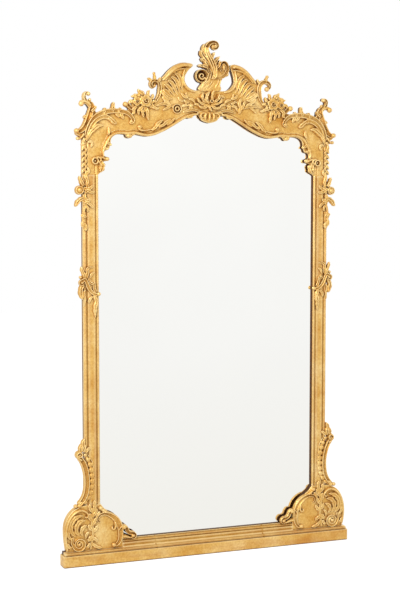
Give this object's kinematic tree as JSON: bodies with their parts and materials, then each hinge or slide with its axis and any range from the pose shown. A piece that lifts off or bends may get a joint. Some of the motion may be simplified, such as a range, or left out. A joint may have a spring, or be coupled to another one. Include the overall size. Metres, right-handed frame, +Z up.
{
  "type": "pier mirror",
  "caption": "Tall carved giltwood pier mirror in rococo style: arched crest, scrolled corners and base, plain plinth and a tall silvered plate.",
  "frame": {"origin": "middle of the plinth's underside, on the floor", "axes": "+X to the right as seen from the front, +Y towards the wall behind, +Z up; the plate faces -Y"},
  "size_m": [1.326, 0.066, 2.2081],
  "materials": {
    "carved_giltwood": "carved wood, gessoed and gilded with warm gold leaf, brown in the recesses",
    "plain_giltwood": "moulded wood, gessoed and gilded, with thin red bole showing in streaks",
    "pine": "planed bare pine, darkened with age",
    "silvered_plate": "plain silvered plate glass",
    "brass": "dull pressed brass",
    "steel": "plain steel"
  },
  "bodies": {
    "root": {"base_board_left": "carved_giltwood", "base_board_right": "carved_giltwood", "corner_board_left": "carved_giltwood", "corner_board_right": "carved_giltwood", "crest_board": "carved_giltwood", "wing_carving_left": "carved_giltwood", "wing_carving_right": "carved_giltwood", "shoulder_volute_left": "carved_giltwood", "shoulder_volute_right": "carved_giltwood", "crest_plume": "carved_giltwood", "crest_bouquet": "carved_giltwood", "centre_lip": "carved_giltwood", "garland_left": "carved_giltwood", "garland_right": "carved_giltwood", "rosette_left": "carved_giltwood", "leaf_cluster_right": "carved_giltwood", "flower_spray_left": "carved_giltwood", "flower_spray_right": "carved_giltwood", "ear_scroll_left": "carved_giltwood", "ear_scroll_right": "carved_giltwood", "corner_acanthus_left": "carved_giltwood", "corner_acanthus_right": "carved_giltwood", "sight_drop_left": "carved_giltwood", "sight_drop_right": "carved_giltwood", "sight_lip_left": "carved_giltwood", "sight_lip_right": "carved_giltwood", "flower_drop_left": "carved_giltwood", "flower_drop_right": "carved_giltwood", "middle_ornament_left": "carved_giltwood", "middle_ornament_right": "carved_giltwood", "side_bracket_left": "carved_giltwood", "side_bracket_right": "carved_giltwood", "base_outer_scroll_left": "carved_giltwood", "base_outer_scroll_right": "carved_giltwood", "base_inner_scroll_left": "carved_giltwood", "base_inner_scroll_right": "carved_giltwood", "base_leaves_left": "carved_giltwood", "base_leaves_right": "carved_giltwood", "plinth_block": "plain_giltwood", "plinth_cap": "plain_giltwood", "sight_rail_bottom": "plain_giltwood", "pilaster_left": "plain_giltwood", "pilaster_right": "plain_giltwood", "back_rail_bottom": "pine", "back_stile_left": "pine", "back_stile_right": "pine", "backboard_1": "pine", "backboard_2": "pine", "backboard_3": "pine", "backboard_4": "pine", "mirror_plate": "silvered_plate", "hanger_strap_left": "brass", "hanger_strap_right": "brass", "hanger_screw_left_1": "steel", "hanger_screw_left_2": "steel", "hanger_screw_right_1": "steel", "hanger_screw_right_2": "steel"},
    "ring_left": {"hanger_ring_left": "brass"},
    "ring_right": {"hanger_ring_right": "brass"}
  },
  "joints": [
    {"name": "ring_left_swing", "type": "hinge", "parent": "root", "child": "ring_left", "pos_m": [-0.5425, 0.0305, 1.5625], "axis": [1, 0, 0], "range_deg": [0, 175]},
    {"name": "ring_right_swing", "type": "hinge", "parent": "root", "child": "ring_right", "pos_m": [0.5425, 0.0305, 1.5625], "axis": [1, 0, 0], "range_deg": [0, 175]}
  ]
}
